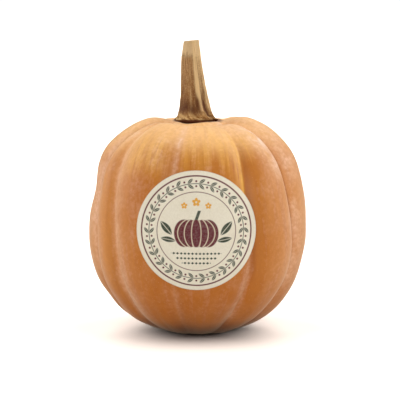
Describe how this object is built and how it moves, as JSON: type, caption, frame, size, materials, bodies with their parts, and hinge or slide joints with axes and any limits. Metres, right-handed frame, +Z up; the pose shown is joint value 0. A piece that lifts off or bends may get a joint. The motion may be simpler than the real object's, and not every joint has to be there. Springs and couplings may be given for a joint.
{
  "type": "autumn frost squash",
  "caption": "Round, upright, ribbed winter squash with a ridged woody stem and a round paper label on its front. It stands on its flat blossom end.",
  "frame": {"origin": "on the surface the squash rests on, under the middle of its bounding box", "axes": "+Z up along the fruit's own axis towards the stem, -Y out of the front that carries the label"},
  "size_m": [0.177, 0.177, 0.2359],
  "materials": {
    "frosted_skin": "satin, under a thin pale bloom",
    "dry_stalk": "matte",
    "label_paper": "matte"
  },
  "bodies": {
    "root": {"fruit": "frosted_skin", "stem": "dry_stalk", "label": "label_paper"}
  },
  "joints": []
}
